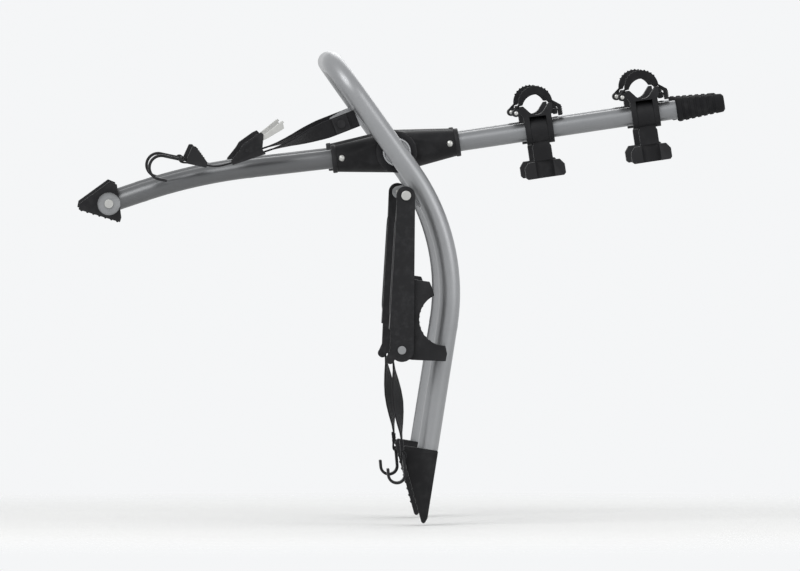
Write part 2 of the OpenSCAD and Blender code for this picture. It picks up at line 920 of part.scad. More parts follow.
// Ten-sided section of webbing, as distances along its width and its thickness
function web_section() =
    let (w = web_w / 2, t = web_t / 2, e = web_t / 4)
    [
        [w, t - e], [w - e, t], [0, t], [e - w, t], [-w, t - e],
        [-w, e - t], [e - w, -t], [0, -t], [w - e, -t], [w, e - t]
    ];

// The section's corners at point i, turned by the twist
function web_ring(route, twist, i) =
    let (along = heading(route, i), c = cos(twist[i]), s = sin(twist[i]))
    [for (q = web_section())
        let (across = q[0] * c - q[1] * s, up = q[0] * s + q[1] * c)
        [route[i][0] - up * along[1], across, route[i][1] + up * along[0]]];

// Webbing swept along a route in X and Z, with a twist at each point
module webbing(route, twist) {
    sides = len(web_section());
    last = len(route) - 1;
    points = [for (i = [0 : last]) each web_ring(route, twist, i)];
    walls = [for (i = [0 : last - 1], k = [0 : sides - 1])
        let (a = i * sides + k, b = i * sides + (k + 1) % sides)
        each [[a, b + sides, b], [a, a + sides, b + sides]]];
    caps = [for (k = [1 : sides - 2])
        each [[0, k, k + 1], [last * sides, last * sides + k + 1, last * sides + k]]];
    polyhedron(points, concat(walls, caps));
}

// Upper strap: webbing from the hoop's tab to the hook
module upper_strap(side) {
    color(black)
        place(side)
            translate([0, leg_line, 0])
                webbing(upper_route, upper_twist);
}

// Frame on the upper strap, +X along the webbing towards the hook
module buckle_frame() {
    translate([buckle_at[0], leg_line, buckle_at[1]])
        mirror([1, 0, 0])
            rotate([0, buckle_slope, 0])
                children();
}

// Pressed buckle: a floor under the webbing and two cheeks for the cam's pin
module cam_buckle(side) {
    outside = buckle_in + buckle_wall;
    color(steel)
        place(side)
            buckle_frame() {
                translate([-buckle_half, -outside, buckle_floor])
                    cube([buckle_half + buckle_toe, 2 * outside, buckle_wall]);
                cheeks(buckle_in, outside)
                    polygon([
                        [1 - buckle_half, buckle_floor], [buckle_toe, buckle_floor], [buckle_toe, 3],
                        lever_pin_at + [9, 4], lever_pin_at + [2, 10], lever_pin_at + [-21, 17],
                        lever_pin_at + [-28, 18], lever_pin_at + [-30, 14], lever_pin_at + [-22, -5]
                    ]);
                translate([lever_pin_at[0], 0, lever_pin_at[1]])
                    y_bar(cam_pin_d - 2 * turn_fit, -outside - 1.5, outside + 1.5);
            }
}

// Spring-loaded cam with a thumb plate that is folded down at both edges
module cam_lever(side) {
    half = buckle_in - face_gap;
    thumb_half = half - sweep_gap;
    cam_r = lever_pin_at[1] - web_t / 2 - sweep_gap;
    knee = -lever_thumb * 0.55;
    color(zinc)
        place(side)
            buckle_frame()
                translate([lever_pin_at[0], 0, lever_pin_at[1]])
                    difference() {
                        union() {
                            y_bar(2 * cam_r, -half, half);
                            rotate([0, lever_rise, 0]) {
                                slab(-thumb_half, thumb_half)
                                    polygon([
                                        [0, cam_r - 1], [knee, cam_r + 1], [-lever_thumb, cam_r + 7],
                                        [-lever_thumb - 1, cam_r + 4], [knee, cam_r - 3], [0, 3]
                                    ]);
                                cheeks(thumb_half - lever_fold, thumb_half)
                                    polygon([
                                        [-2 * cam_r, cam_r - 1], [knee, cam_r], [-lever_thumb, cam_r + 6],
                                        [3 - lever_thumb, cam_r - 4], [knee, cam_r - 6],
                                        [-2 * cam_r, cam_r - 6]
                                    ]);
                            }
                        }
                        y_bar(cam_pin_d, -half - 1, half + 1);
                    }
}

// Moulded slide on the webbing: a wedge with a tab to lift, and a slot that the webbing fills
module strap_slide(side) {
    half_y = buckle_in + slide_wall;
    low = -web_t / 2 - slide_wall;
    color(black)
        place(side)
            translate([slide_at[0], leg_line, slide_at[1]])
                mirror([1, 0, 0])
                    rotate([0, -slide_slope, 0])
                        difference() {
                            slab(-half_y, half_y)
                                polygon([
                                    [-slide_half, low], [slide_half, low], [slide_half, 4],
                                    [slide_half - 4, slide_top - 1], [slide_half - 9, slide_top],
                                    [-slide_half, 4]
                                ]);
                            translate([-2 * slide_half, -buckle_in, -web_t / 2])
                                cube([4 * slide_half, 2 * buckle_in, web_t + turn_fit]);
                        }
}

// Side profile of a flat J hook: shank along +X, mouth curled under it
module hook_profile(shank, mouth_r, lip) {
    back = hook_eye / 2 + hook_bar;
    translate([-back, -hook_t / 2])
        square([shank + back, hook_t]);
    translate([shank, -mouth_r])
        intersection() {
            difference() {
                circle(r = mouth_r + hook_t / 2);
                circle(r = mouth_r - hook_t / 2);
            }
            translate([0, -2 * mouth_r])
                square([2 * mouth_r, 4 * mouth_r]);
        }
    translate([shank - lip, -2 * mouth_r - hook_t / 2])
        square([lip, hook_t]);
}

// Flat hook with a slot for the webbing
module flat_hook(shank, mouth_r, lip) {
    color(steel)
        difference() {
            slab(-hook_w / 2, hook_w / 2)
                hook_profile(shank, mouth_r, lip);
            translate([-hook_eye / 2, -web_w / 2 - sweep_gap, -hook_t])
                cube([hook_eye, web_w + 2 * sweep_gap, 2 * hook_t]);
        }
}

module upper_hook(side) {
    place(side)
        translate([upper_hook_at[0], leg_line, upper_hook_at[1]])
            mirror([1, 0, 0])
                rotate([0, -upper_hook_slope, 0])
                    flat_hook(upper_hook_shank, upper_hook_r, upper_hook_lip);
}

module lower_hook(side) {
    place(side)
        translate([lower_hook_at[0], tension_y, lower_hook_at[1]])
            rotate([0, 90 - lower_hook_slope, 0])
                flat_hook(lower_hook_shank, lower_hook_r, lower_hook_lip);
}

// Pressed channel that hangs from the hoop's lug, carries the ratchet and guides the webbing
module tensioner(side) {
    top_r = anchor_pin_d / 2 + 9;
    back_start = 14;
    back_end = 30;
    plate_in = tension_half - plate_t;
    color(black)
        place(side)
            translate([0, tension_y, 0])
                difference() {
                    union() {
                        cheeks(plate_in, tension_half) {
                            translate(anchor_at)
                                circle(r = top_r);
                            translate(spool_at)
                                circle(r = spool_plate_r);
                            polygon([
                                anchor_at + [-top_r, 0], anchor_at + [top_r, 0],
                                spool_at + [spool_plate_r, 0], spool_at + [-spool_plate_r, 0]
                            ]);
                        }
                        cheeks(plate_in, tension_half)
                            translate(guide_at)
                                circle(r = guide_ear_r);
                        cheeks(plate_in, tension_half)
                            polygon([
                                guide_at + [-guide_ear_r * 0.8, 3], guide_at + [guide_ear_r * 0.6, -4],
                                spool_at, spool_at + [2 - spool_plate_r, 4]
                            ]);
                        translate([guide_at[0], 0, guide_at[1]])
                            y_bar(guide_d, -tension_half, tension_half);
                        slab(-tension_half, tension_half)
                            polygon([
                                anchor_at + [-top_r, -back_start],
                                anchor_at + [plate_t - top_r, -back_start],
                                spool_at + [-spool_plate_r - 1 + plate_t, back_end],
                                spool_at + [-spool_plate_r - 1, back_end]
                            ]);
                    }
                    translate([anchor_at[0], 0, anchor_at[1]])
                        y_bar(anchor_pin_d, -2 * tension_half, 2 * tension_half);
                    translate([spool_at[0], 0, spool_at[1]])
                        y_bar(spool_pin_d, -2 * tension_half, 2 * tension_half);
                }
}

// Slotted spool with the wound webbing between two toothed wheels
module ratchet_spool(side) {
    tooth = 3;
    step = 360 / wheel_teeth;
    color(steel)
        place(side)
            translate([spool_at[0], tension_y, spool_at[1]]) {
                y_bar(spool_pin_d - 2 * turn_fit, -tension_half - 2, tension_half + 2);
                y_bar(2 * spool_r, -web_w / 2, web_w / 2);
                cheeks(handle_half + sweep_gap, wheel_half)
                    polygon([for (i = [0 : wheel_teeth - 1])
                        each [
                            wheel_d / 2 * [cos(i * step), sin(i * step)],
                            (wheel_d / 2 - tooth) * [cos((i + 1) * step), sin((i + 1) * step)]
                        ]]);
            }
}

// Ratchet handle: a channel with a finger lip above and a pull tab below
module ratchet_handle(side) {
    inside = handle_half - plate_t;
    color(black)
        place(side)
            translate([spool_at[0], tension_y, spool_at[1]])
                difference() {
                    union() {
                        slab(-handle_half, handle_half)
                            polygon([
                                [spool_pin_d / 2, handle_top + handle_skin], lip_out, lip_low,
                                tab_out, tab_end, handle_heel, handle_toe, handle_back
                            ]);
                        y_bar(2 * handle_boss_r, -handle_half, handle_half);
                    }
                    translate([finger_at[0], 0, finger_at[1]])
                        y_bar(2 * finger_r, -2 * handle_half, 2 * handle_half);
                    difference() {
                        union() {
                            slab(-inside, inside)
                                polygon([
                                    [pocket_back, handle_top - handle_skin], pocket_lip, pocket_waist,
                                    pocket_tab, pocket_heel, [pocket_back, pocket_low]
                                ]);
                            y_bar(2 * spool_r + 4, -inside, inside);
                        }
                        translate([finger_at[0], 0, finger_at[1]])
                            y_bar(2 * (finger_r + handle_skin), -2 * handle_half, 2 * handle_half);
                    }
                    y_bar(spool_pin_d, -2 * handle_half, 2 * handle_half);
                }
}

// Lower strap: webbing from the spool to the hook
module lower_strap(side) {
    color(black)
        place(side)
            translate([0, tension_y, 0])
                webbing(lower_route, lower_twist);
}

hoop();
lower_foot(LEFT);  // lower_foot_left
lower_foot(RIGHT);  // lower_foot_right
hub_bolts();
friction_washers();
strap_pins();
strap_rivets();
hub_knob(LEFT);  // hub_knob_left
hub_knob(RIGHT);  // hub_knob_right
arm_tube(LEFT);  // arm_tube_left
arm_tube(RIGHT);  // arm_tube_right
arm_hub(LEFT);  // arm_hub_left
arm_hub(RIGHT);  // arm_hub_right
arm_grip(LEFT);  // arm_grip_left
arm_grip(RIGHT);  // arm_grip_right
leg_tube(LEFT);  // leg_tube_left
leg_tube(RIGHT);  // leg_tube_right
leg_hub(LEFT);  // leg_hub_left
leg_hub(RIGHT);  // leg_hub_right
foot_pin(LEFT);  // foot_pin_left
foot_pin(RIGHT);  // foot_pin_right
foot_yoke(LEFT);  // foot_yoke_left
foot_yoke(RIGHT);  // foot_yoke_right
foot_pad(LEFT);  // foot_pad_left
foot_pad(RIGHT);  // foot_pad_right
saddle(LEFT, cradle_at);  // saddle_inner_left
saddle(RIGHT, cradle_at);  // saddle_inner_right
saddle(LEFT, cradle_at + cradle_pitch);  // saddle_outer_left
saddle(RIGHT, cradle_at + cradle_pitch);  // saddle_outer_right
tie(LEFT, cradle_at);  // tie_inner_left
tie(RIGHT, cradle_at);  // tie_inner_right
tie(LEFT, cradle_at + cradle_pitch);  // tie_outer_left
tie(RIGHT, cradle_at + cradle_pitch);  // tie_outer_right
stabiliser(LEFT, cradle_at);  // stabiliser_inner_left
stabiliser(RIGHT, cradle_at);  // stabiliser_inner_right
stabiliser(LEFT, cradle_at + cradle_pitch);  // stabiliser_outer_left
stabiliser(RIGHT, cradle_at + cradle_pitch);  // stabiliser_outer_right
upper_strap(LEFT);  // upper_strap_left
upper_strap(RIGHT);  // upper_strap_right
cam_buckle(LEFT);  // cam_buckle_left
cam_buckle(RIGHT);  // cam_buckle_right
cam_lever(LEFT);  // cam_lever_left
cam_lever(RIGHT);  // cam_lever_right
strap_slide(LEFT);  // strap_slide_left
strap_slide(RIGHT);  // strap_slide_right
upper_hook(LEFT);  // upper_hook_left
upper_hook(RIGHT);  // upper_hook_right
tensioner(LEFT);  // tensioner_left
tensioner(RIGHT);  // tensioner_right
ratchet_spool(LEFT);  // ratchet_spool_left
ratchet_spool(RIGHT);  // ratchet_spool_right
ratchet_handle(LEFT);  // ratchet_handle_left
ratchet_handle(RIGHT);  // ratchet_handle_right
lower_strap(LEFT);  // lower_strap_left
lower_strap(RIGHT);  // lower_strap_right
lower_hook(LEFT);  // lower_hook_left
lower_hook(RIGHT);  // lower_hook_right
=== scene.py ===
import math

import bmesh
import bpy
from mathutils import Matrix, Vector


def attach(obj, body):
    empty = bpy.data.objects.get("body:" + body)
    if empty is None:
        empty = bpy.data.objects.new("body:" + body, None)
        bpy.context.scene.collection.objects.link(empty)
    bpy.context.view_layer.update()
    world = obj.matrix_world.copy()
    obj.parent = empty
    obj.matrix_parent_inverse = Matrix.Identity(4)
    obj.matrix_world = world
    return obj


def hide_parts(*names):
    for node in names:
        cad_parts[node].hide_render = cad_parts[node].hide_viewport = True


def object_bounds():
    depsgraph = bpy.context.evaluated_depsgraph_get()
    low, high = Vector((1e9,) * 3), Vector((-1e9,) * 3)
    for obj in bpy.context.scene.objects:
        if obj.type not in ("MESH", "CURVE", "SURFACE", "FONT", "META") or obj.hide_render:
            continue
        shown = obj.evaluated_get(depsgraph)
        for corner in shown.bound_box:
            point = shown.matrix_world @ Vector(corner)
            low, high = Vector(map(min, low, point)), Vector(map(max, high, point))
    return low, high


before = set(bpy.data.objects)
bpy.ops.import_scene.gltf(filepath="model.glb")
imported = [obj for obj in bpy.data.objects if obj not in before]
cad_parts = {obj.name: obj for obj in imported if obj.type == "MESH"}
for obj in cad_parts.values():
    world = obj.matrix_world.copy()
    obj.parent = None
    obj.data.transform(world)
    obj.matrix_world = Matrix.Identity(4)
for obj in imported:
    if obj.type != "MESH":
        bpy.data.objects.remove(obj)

solids_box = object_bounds()

# The studio: a pale floor under the toes of the rack, soft light from big lamps, and a long lens
# that looks square at the side of the rack, as the photograph does.
stage_low, stage_high = solids_box
look_at = Vector(((stage_low.x + stage_high.x) / 2, 0, (stage_low.z + stage_high.z) / 2))
camera_azimuth, camera_elevation = math.radians(-1.2), math.radians(0.8)
camera_distance, camera_reach, seen_width, sensor = 30.0, 100, 1.16, 36.0
camera_back = Vector((
    math.sin(camera_azimuth) * math.cos(camera_elevation),
    -math.cos(camera_azimuth) * math.cos(camera_elevation),
    math.sin(camera_elevation)))
camera = bpy.data.objects.new("camera", bpy.data.cameras.new("camera"))
camera.data.sensor_width = sensor
camera.data.lens = sensor * camera_distance / seen_width
camera.data.clip_end = camera_reach
camera.location = look_at + camera_back * camera_distance
camera.rotation_mode = "QUATERNION"
camera.rotation_quaternion = (-camera_back).to_track_quat("-Z", "Y")
bpy.context.scene.collection.objects.link(camera)
bpy.context.scene.camera = camera
bpy.context.scene.view_settings.view_transform = "Standard"

floor_half, floor_drop, floor_clear, floor_end = 2.2, 0.003, 0.7, 2.0
floor_mesh = bmesh.new()
bmesh.ops.create_grid(floor_mesh, x_segments=8, y_segments=8, size=floor_half)
floor = bpy.data.objects.new("floor", bpy.data.meshes.new("floor"))
floor_mesh.to_mesh(floor.data)
floor_mesh.free()
floor.location.z = stage_low.z - floor_drop
bpy.context.scene.collection.objects.link(floor)


def lamp(name, place, size, watts):
    """A square soft box that points at the rack."""
    light = bpy.data.objects.new(name, bpy.data.lights.new(name, "AREA"))
    light.data.size, light.data.energy = size, watts
    light.location = place
    light.rotation_mode = "QUATERNION"
    light.rotation_quaternion = (look_at - Vector(place)).to_track_quat("-Z", "Y")
    bpy.context.scene.collection.objects.link(light)


lamp("key_lamp", (-1.6, -2.6, 2.7), size=2.2, watts=62)
lamp("fill_lamp", (2.4, -2.2, 1.3), size=1.8, watts=22)
lamp("back_lamp", (0.6, 2.8, 2.2), size=2.0, watts=26)


class Shade:
    """One socket of a material. Arithmetic on it adds Math nodes to that material."""

    def __init__(self, socket):
        self.socket = socket

    def node(self, kind, settings, sockets, output=0):
        """Adds a node of that kind: its settings first, then the values or links of its sockets."""
        tree = self.socket.id_data
        added = tree.nodes.new(kind)
        for name, value in settings.items():
            setattr(added, name, value)
        for name, value in sockets.items():
            if isinstance(value, Shade):
                tree.links.new(value.socket, added.inputs[name])
            else:
                added.inputs[name].default_value = value
        return Shade(added.outputs[output])

    def maths(self, operation, *values):
        """A Math node on this value and up to two more."""
        inputs = dict(enumerate((self, *values)))
        return self.node("ShaderNodeMath", {"operation": operation}, inputs)

    def __add__(self, other):
        return self.maths("ADD", other)

    __radd__ = __add__

    def __sub__(self, other):
        return self.maths("SUBTRACT", other)

    def __rsub__(self, other):
        return self.node("ShaderNodeMath", {"operation": "SUBTRACT"}, {0: other, 1: self})

    def __mul__(self, other):
        return self.maths("MULTIPLY", other)

    __rmul__ = __mul__

    def above(self, low, high):
        """0 below low, 1 above high, smooth between."""
        return self.node(
            "ShaderNodeMapRange", {"interpolation_type": "SMOOTHSTEP"},
            {"Value": self, "From Min": low, "From Max": high})

    def noise(self, per_metre, detail=3.0, rough=0.55):
        """Clouds, with about that many of them in a metre."""
        return self.node(
            "ShaderNodeTexNoise", {},
            {"Vector": self, "Scale": per_metre, "Detail": detail, "Roughness": rough})

    def stretched(self, x, y, z):
        """This place, stretched along each axis, for marks that run one way."""
        return self.node(
            "ShaderNodeVectorMath", {"operation": "MULTIPLY"}, {0: self, 1: (x, y, z)})

    def length(self):
        """How far this place is from the middle."""
        return self.node("ShaderNodeVectorMath", {"operation": "LENGTH"}, {0: self}, "Value")

    def mix(self, dark, light):
        """A colour between two, with this value as the share of the second."""
        factor, first, second, colour_out = 0, 6, 7, 2
        return self.node(
            "ShaderNodeMix", {"data_type": "RGBA"},
            {factor: self, first: (*dark, 1), second: (*light, 1)}, colour_out)

    def bump(self, height_m, strength=1.0):
        """A normal that makes this value look raised by that height."""
        return self.node(
            "ShaderNodeBump", {}, {"Height": self, "Strength": strength, "Distance": height_m})


def blank(name, **sockets):
    """A new material with plain values on its shader, and the place in the rack as a Shade."""
    material = bpy.data.materials.new(name)
    material.use_nodes = True
    shader = material.node_tree.nodes["Principled BSDF"]
    for socket, value in sockets.items():
        shader.inputs[socket.replace("_", " ")].default_value = value
    return material, Shade(material.node_tree.nodes.new("ShaderNodeTexCoord").outputs["Object"])


def coat(material, **sockets):
    """Links what varies over the surface to the material's shader."""
    tree = material.node_tree
    shader = tree.nodes["Principled BSDF"]
    for socket, value in sockets.items():
        tree.links.new(value.socket, shader.inputs[socket.replace("_", " ")])
    return material


floor_paint, floor_place = blank("floor_paint", Roughness=0.9)
floor.data.materials.append(coat(
    floor_paint,
    Base_Color=floor_place.noise(0.8, detail=2).mix((0.84, 0.84, 0.83), (0.87, 0.87, 0.86)),
    Alpha=1 - floor_place.length().above(floor_clear, floor_end)))
world = bpy.data.worlds.new("studio")
world.use_nodes = True
bpy.context.scene.world = world
rays = world.node_tree.nodes.new("ShaderNodeLightPath")
shown_pale = Shade(rays.outputs["Is Camera Ray"])
for ray in ("Is Glossy Ray", "Is Transmission Ray"):
    shown_pale = shown_pale.maths("MAXIMUM", Shade(rays.outputs[ray]))
ambient, pale = 0.62, 0.93
pale_level = shown_pale * (pale - ambient) + ambient
backdrop = world.node_tree.nodes["Background"]
backdrop.inputs["Color"].default_value = (0.98, 0.99, 1.0, 1)
world.node_tree.links.new(pale_level.socket, backdrop.inputs["Strength"])

# The straps: black polyester webbing, 25 mm wide, woven flat with a rolled edge. Each upper one is
# riveted to the hoop's tab and runs through its buckle and slide to a hook, and each lower one from
# its tensioner's spool to a hook. The end is folded round the hook's bar, and sewn down below.
SIDES = {"left": -1, "right": 1}
HUB = Vector((-0.0211564, 0, 0.4804614))
LEG_Y, TENSION_Y = 0.235, 0.275
across = Vector((0, 1, 0))
webbing_w, webbing_t = 0.025, 0.0024
upper_hook_at, upper_hook_slope = (-312, -10.5), math.radians(12.095)
lower_hook_at, lower_hook_slope = (9, -440), math.radians(5)
upper_route = [
    (-68, 45), (-79, 40.7), (-91, 36), (-101, 32.2), (-113, 27.8), (-127, 22.5), (-140, 17.5),
    (-153, 13), (-166, 8.5), (-180, 4), (-195, -1), (-210, -6), (-225, -11), (-240, -16),
    (-256, -20), (-270, -19.5), (-284, -16.5), (-298, -13.5), (-302.7, -12.49)]
upper_twist = [90, 90, 90, 80, 62, 46, 30, 16, 6] + [0] * 10
lower_route = [
    (-3.6, -276), (-5.75, -279.7), (-6.5, -284), (-6.5, -291), (-6.2, -298), (-4.8, -313),
    (-3, -328), (-1.2, -343), (0.5, -358), (2, -373), (3.5, -388), (5, -403), (6.5, -418),
    (8, -430.5)]
lower_twist = [0, 0, 0, 0, 0, 6, 20, 32, 38, 32, 20, 6, 0, 0]
# The fold round a hook's bar, along the shank and square to it, from the end of the strap's run
hook_fold = [
    (-9, 1.4), (-6.4, 2.9), (-4.2, 3.3), (-1.8, 2.7), (-0.3, 1.2), (0.2, -0.5), (-0.5, -2.2),
    (-2.4, -3.2), (-5, -3.4), (-8, -3)]
fold_step = 0.0012
lower_flap = [(-12, -2.6), (-16, -2.5), (-21, -2.5), (-27, -2.6)]
upper_flap = [(-11, -2.5), (-13, -2.3)]
# The cut end that shows past the rivet plate, up to the hoop
upper_tail = [(-57.7, 49.03), (-62.85, 47.01), (-68, 45)]
# The sewn box on the flap, from the hook's bar in millimetres, and how far out each face of it lies
box_near, box_far, box_half = -13, -25, 0.009
sewn_faces = {"front": (1, 0.0010), "back": (-1, 0.0035)}


def from_hub(x, z, y):
    """A point in millimetres from the hub axis, at a distance across the rack in metres."""
    return HUB + Vector((x / 1000, y, z / 1000))


def run_points(route, twists, y):
    """Centre and width direction at each point of a route, in millimetres from the hub axis."""
    found = []
    for i, ((x, z), twist) in enumerate(zip(route, twists)):
        ahead, behind = route[min(i + 1, len(route) - 1)], route[max(i - 1, 0)]
        along = Vector((ahead[0] - behind[0], 0, ahead[1] - behind[1])).normalized()
        up = Vector((-along.z, 0, along.x))
        turn = math.radians(twist)
        found.append((from_hub(x, z, y), across * math.cos(turn) + up * math.sin(turn)))
    return found


def smooth_run(points, step=0.003):
    """The same run as a round line, with points about a step apart."""
    fine = []
    for i in range(len(points) - 1):
        p0, p1, p2, p3 = (
            points[min(max(k, 0), len(points) - 1)][0] for k in (i - 1, i, i + 1, i + 2))
        w1, w2 = points[i][1], points[i + 1][1]
        count = max(1, round((p2 - p1).length / step))
        for k in range(count):
            t = k / count
            place = 0.5 * (2 * p1 + (p2 - p0) * t + (2 * p0 - 5 * p1 + 4 * p2 - p3) * t ** 2
                           + (3 * p1 - p0 - 3 * p2 + p3) * t ** 3)
            fine.append((place, w1.lerp(w2, t).normalized()))
    return fine + [points[-1]]


def link_mesh(name, mesh, material):
    """A new piece from a mesh that is drawn in the rack's own frame."""
    piece = bpy.data.objects.new(name, bpy.data.meshes.new(name))
    bmesh.ops.recalc_face_normals(mesh, faces=mesh.faces[:])
    mesh.to_mesh(piece.data)
    mesh.free()
    for face in piece.data.polygons:
        face.use_smooth = True
    piece.data.materials.append(material)
    bpy.context.scene.collection.objects.link(piece)
    return piece


def skin(mesh, rings, closed=False):
    """Joins rings of points with a band of faces, and caps the two ends."""
    for i in range(len(rings) if closed else len(rings) - 1):
        a, b = rings[i], rings[(i + 1) % len(rings)]
        for k in range(len(a)):
            n = (k + 1) % len(a)
            mesh.faces.new((a[k], a[n], b[n], b[k]))
    if not closed:
        mesh.faces.new(rings[0])
        mesh.faces.new(list(reversed(rings[-1])))


def webbing_uv(mesh, places):
    """Gives each face its place on the webbing, across and along in metres, for the weave."""
    uv = mesh.loops.layers.uv.new("weave")
    for face in mesh.faces:
        for loop in face.loops:
            loop[uv].uv = places[loop.vert]


def weave(name, run):
    """Webbing along a run: a flat section with a rolled edge that is a little thicker."""
    half, flat = webbing_w / 2, webbing_t / 2
    section = []
    lifts = ((1, 0.45), (0.94, 1.0), (0.86, 0.8), (0.5, 0.8), (0, 0.8))
    for share, lift in lifts + tuple((-share, lift) for share, lift in reversed(lifts[:-1])):
        section.append((share * half, flat * lift))
    section += [(a, -b) for a, b in reversed(section)]
    mesh = bmesh.new()
    rings, places, walked = [], {}, 0.0
    for i, (place, wide) in enumerate(run):
        along = (run[min(i + 1, len(run) - 1)][0] - run[max(i - 1, 0)][0]).normalized()
        wide = (wide - along * wide.dot(along)).normalized()
        out = along.cross(wide)
        walked += (place - run[i - 1][0]).length if i else 0.0
        rings.append([mesh.verts.new(place + wide * a + out * b) for a, b in section])
        places.update((point, (a, walked)) for point, (a, b) in zip(rings[-1], section))
    skin(mesh, rings)
    webbing_uv(mesh, places)
    return link_mesh(name, mesh, webbing)


def stitches(name, lines, out):
    """Sewn lines: each stitch is a short fat thread that dips into the webbing at its ends."""
    stitch, gap, thick, facets = 0.0024, 0.0007, 0.00036, 6
    turns = [k * math.tau / facets for k in range(facets)]
    mesh = bmesh.new()
    for start, end in lines:
        along = (end - start).normalized()
        wide = along.cross(out)
        count = max(1, int((end - start).length / (stitch + gap)))
        for i in range(count):
            middle = start.lerp(end, (i + 0.5) / count)
            rings = []
            for share in (-1, -0.6, 0, 0.6, 1):
                radius = thick * (1.15 - abs(share) * 0.35)
                rise = thick * 0.9 * (1 - share * share)
                centre = middle + along * (share * stitch / 2) + out * rise
                rings.append([
                    mesh.verts.new(centre + (wide * math.cos(a) + out * math.sin(a)) * radius)
                    for a in turns])
            skin(mesh, rings)
    return link_mesh(name, mesh, thread)


webbing, web_place = blank(
    "black_webbing", Roughness=0.85, Specular_IOR_Level=0.12, Sheen_Weight=0.1, Sheen_Roughness=0.5)
weave_uv = web_place.node("ShaderNodeUVMap", {"uv_map": "weave"}, {})
web_x = weave_uv.node("ShaderNodeSeparateXYZ", {}, {"Vector": weave_uv}, "X")
web_y = weave_uv.node("ShaderNodeSeparateXYZ", {}, {"Vector": weave_uv}, "Y")
rib_pitch, twill_pitch, cord_pitch, chevron_w = 0.0024, 0.0021, 0.00078, 0.0031
chevrons = web_x.maths("PINGPONG", chevron_w) * (math.tau / twill_pitch)
twill = (web_y * (math.tau / rib_pitch) + chevrons).maths("SINE")
warp_cords = (web_x * (math.tau / cord_pitch)).maths("SINE")
weave_height = twill * 0.5 + warp_cords * 0.3 + 0.5
web_dust = web_place.noise(35, detail=4).above(0.5, 0.8)
# The weave's height also colours it: its crests painted lighter and troughs darker as painted light
# and shade, with real dust on top
weave_shade_and_dust = weave_height * 0.55 + web_dust * 0.35
coat(webbing,
     Base_Color=weave_shade_and_dust.mix((0.007, 0.007, 0.008), (0.030, 0.030, 0.032)),
     Roughness=web_dust * 0.1 + 0.78,
     Normal=weave_height.bump(0.00035, strength=0.8))
thread, thread_place = blank("bonded_thread", Roughness=0.55, Specular_IOR_Level=0.4)
coat(thread,
     Base_Color=thread_place.noise(900, detail=2).mix((0.05, 0.05, 0.053), (0.11, 0.11, 0.115)),
     Normal=thread_place.noise(2600, detail=2).bump(0.0001, strength=0.6))


def hook_frame(hook_at, along, up, y):
    """Places points of a hook's side profile, in millimetres along and square to its shank."""
    origin = from_hub(*hook_at, y)
    return lambda x, z: origin + along * (x / 1000) + up * (z / 1000)


def strap(name, node, body, route, twist, y):
    """One strap: its webbing from where it leaves the rack, in place of the solid strap, on a body.
    """
    path = smooth_run(run_points(route, twist, y))
    piece = weave(name, path)
    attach(piece, body)
    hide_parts(node)
    length = sum((b[0] - a[0]).length for a, b in zip(path, path[1:]))
    return path


def fixed(piece, body):
    """Lets a drawn piece ride on a body."""
    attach(piece, body)


for side, s in SIDES.items():
    path = strap(
        f"upper_webbing_{side}", f"upper_strap_{side}", "frame", upper_route, upper_twist,
        s * LEG_Y)
    tail = run_points(upper_tail, [upper_twist[0]] * len(upper_tail), s * LEG_Y)
    fixed(weave(f"upper_tail_{side}", smooth_run(tail)), "frame")
    along = Vector((-math.cos(upper_hook_slope), 0, math.sin(upper_hook_slope)))
    up = Vector((math.sin(upper_hook_slope), 0, math.cos(upper_hook_slope)))
    on_hook = hook_frame(upper_hook_at, along, up, s * LEG_Y)
    fold = [path[-1]] + [(on_hook(x, z), across) for x, z in hook_fold + upper_flap]
    fixed(weave(f"upper_fold_{side}", smooth_run(fold, fold_step)), "frame")

    body = f"tensioner_{side}"
    path = strap(
        f"lower_webbing_{side}", f"lower_strap_{side}", body, lower_route, lower_twist,
        s * TENSION_Y)
    along = Vector((math.sin(lower_hook_slope), 0, -math.cos(lower_hook_slope)))
    up = Vector((math.cos(lower_hook_slope), 0, math.sin(lower_hook_slope)))
    on_hook = hook_frame(lower_hook_at, along, up, s * TENSION_Y)
    fold = [path[-1]] + [(on_hook(x, z), across) for x, z in hook_fold + lower_flap]
    fixed(weave(f"lower_fold_{side}", smooth_run(fold, fold_step)), body)
    for face, (way, lift) in sewn_faces.items():
        out = up * way
        corners = [
            on_hook(x, 0) + across * y + out * lift
            for x, y in ((box_near, -box_half), (box_far, -box_half),
                         (box_far, box_half), (box_near, box_half))]
        lines = list(zip(corners, corners[1:] + corners[:1])) + [corners[::2], corners[1::2]]
        fixed(stitches(f"lower_stitches_{face}_{side}", lines, out), body)

# The hoop: one 30 mm steel tube, bent cold to a U and swept in the side view, powder coated silver.
# Its hub bosses, strap tabs and lugs are welded on, and each weld is a rippled bead under the coat.
HOOP_R, BOSS_R = 0.015, 0.0186
LEAN = math.radians(35.5)
tube_up = Vector((-math.sin(LEAN), 0, math.cos(LEAN)))
tube_front = Vector((-math.cos(LEAN), 0, -math.sin(LEAN)))
tab_start, tab_end, tab_faces = 0.0605, 0.0847, (-0.0012, -0.0052)
lug_start, lug_end, lug_half = math.radians(25.9), math.radians(31.8), 0.004
sweep_middle, sweep_in = Vector((-0.2239, 0, -0.2027)), 0.28554
boss_bead, tab_bead, lug_bead = 0.0019, 0.0017, 0.0019
ripple_pitch, ripple_share, bead_tip = 0.0024, 0.1, 0.3
boss_points, seam_points = 300, 64


def finished(node, material):
    """Gives a solid its finish and nothing else, as a bent tube needs."""
    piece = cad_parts[node]
    piece.data.materials.clear()
    piece.data.materials.append(material)
    return piece


